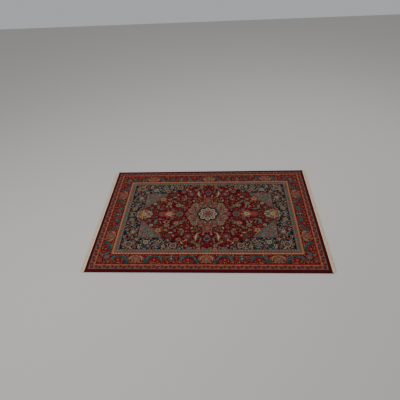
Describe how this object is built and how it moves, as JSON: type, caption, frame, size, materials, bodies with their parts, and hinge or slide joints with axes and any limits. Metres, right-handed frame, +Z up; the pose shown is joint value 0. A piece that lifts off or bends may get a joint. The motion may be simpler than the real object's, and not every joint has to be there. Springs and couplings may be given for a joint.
{
  "type": "area rug",
  "caption": "Flat rectangular knotted-pile area rug with framed floral medallion design, overcast long sides, flat-woven ends and turn-up tasselled fringes.",
  "frame": {"origin": "on the floor, under the centre of the rug", "axes": "+X along the rug's length towards the right-hand fringe, +Y across its width towards the back side, +Z up out of the pile"},
  "size_m": [2.7, 1.8, 0.01],
  "materials": {
    "ground_cotton": "plain cotton weave with the knots' backs showing",
    "wool_medallion_red": "knotted wool pile, deep red ground with small flowers",
    "wool_spandrel_grey": "knotted wool pile, grey-teal flecked with red",
    "wool_corner_navy": "knotted wool pile, near-black navy ground with cream, blue and pink flowers",
    "wool_guard_blue": "knotted wool pile, grey-blue guard between orange-tan and navy lines",
    "wool_border_red": "knotted wool pile, red ground with teal scrolls and tan palmettes",
    "wool_outer_maroon": "knotted wool pile, red-brown guard inside a plain maroon edge",
    "core_cotton": "twisted cotton cord",
    "overcast_wool": "maroon wool yarn wrapped side by side",
    "fringe_cotton": "cream twisted cotton warp yarn"
  },
  "bodies": {
    "rug": {"ground_cloth": "ground_cotton", "pile_medallion": "wool_medallion_red", "pile_spandrel_front_left": "wool_spandrel_grey", "pile_corner_front_left": "wool_corner_navy", "pile_spandrel_front_right": "wool_spandrel_grey", "pile_corner_front_right": "wool_corner_navy", "pile_spandrel_back_left": "wool_spandrel_grey", "pile_corner_back_left": "wool_corner_navy", "pile_spandrel_back_right": "wool_spandrel_grey", "pile_corner_back_right": "wool_corner_navy", "pile_inner_guard_front": "wool_guard_blue", "pile_inner_guard_back": "wool_guard_blue", "pile_inner_guard_left": "wool_guard_blue", "pile_inner_guard_right": "wool_guard_blue", "pile_main_border_front": "wool_border_red", "pile_main_border_back": "wool_border_red", "pile_main_border_left": "wool_border_red", "pile_main_border_right": "wool_border_red", "pile_outer_guard_front": "wool_outer_maroon", "pile_outer_guard_back": "wool_outer_maroon", "pile_outer_guard_left": "wool_outer_maroon", "pile_outer_guard_right": "wool_outer_maroon", "side_cord_front": "core_cotton", "side_overcast_front": "overcast_wool", "side_cord_back": "core_cotton", "side_overcast_back": "overcast_wool", "end_band_left": "fringe_cotton", "end_stitch_left": "fringe_cotton", "end_band_right": "fringe_cotton", "end_stitch_right": "fringe_cotton"},
    "left_tassels_1": {"fringe_left_1": "fringe_cotton"},
    "left_tassels_2": {"fringe_left_2": "fringe_cotton"},
    "left_tassels_3": {"fringe_left_3": "fringe_cotton"},
    "left_tassels_4": {"fringe_left_4": "fringe_cotton"},
    "right_tassels_1": {"fringe_right_1": "fringe_cotton"},
    "right_tassels_2": {"fringe_right_2": "fringe_cotton"},
    "right_tassels_3": {"fringe_right_3": "fringe_cotton"},
    "right_tassels_4": {"fringe_right_4": "fringe_cotton"}
  },
  "joints": [
    {"name": "left_fringe_fold_1", "type": "hinge", "parent": "rug", "child": "left_tassels_1", "pos_m": [-1.3175, -0.6645, 0.003], "axis": [0, 1, 0], "range_deg": [0, 145]},
    {"name": "left_fringe_fold_2", "type": "hinge", "parent": "rug", "child": "left_tassels_2", "pos_m": [-1.3175, -0.2215, 0.003], "axis": [0, 1, 0], "range_deg": [0, 145]},
    {"name": "left_fringe_fold_3", "type": "hinge", "parent": "rug", "child": "left_tassels_3", "pos_m": [-1.3175, 0.2215, 0.003], "axis": [0, 1, 0], "range_deg": [0, 145]},
    {"name": "left_fringe_fold_4", "type": "hinge", "parent": "rug", "child": "left_tassels_4", "pos_m": [-1.3175, 0.6645, 0.003], "axis": [0, 1, 0], "range_deg": [0, 145]},
    {"name": "right_fringe_fold_1", "type": "hinge", "parent": "rug", "child": "right_tassels_1", "pos_m": [1.3175, -0.6645, 0.003], "axis": [0, -1, 0], "range_deg": [0, 145]},
    {"name": "right_fringe_fold_2", "type": "hinge", "parent": "rug", "child": "right_tassels_2", "pos_m": [1.3175, -0.2215, 0.003], "axis": [0, -1, 0], "range_deg": [0, 145]},
    {"name": "right_fringe_fold_3", "type": "hinge", "parent": "rug", "child": "right_tassels_3", "pos_m": [1.3175, 0.2215, 0.003], "axis": [0, -1, 0], "range_deg": [0, 145]},
    {"name": "right_fringe_fold_4", "type": "hinge", "parent": "rug", "child": "right_tassels_4", "pos_m": [1.3175, 0.6645, 0.003], "axis": [0, -1, 0], "range_deg": [0, 145]}
  ]
}
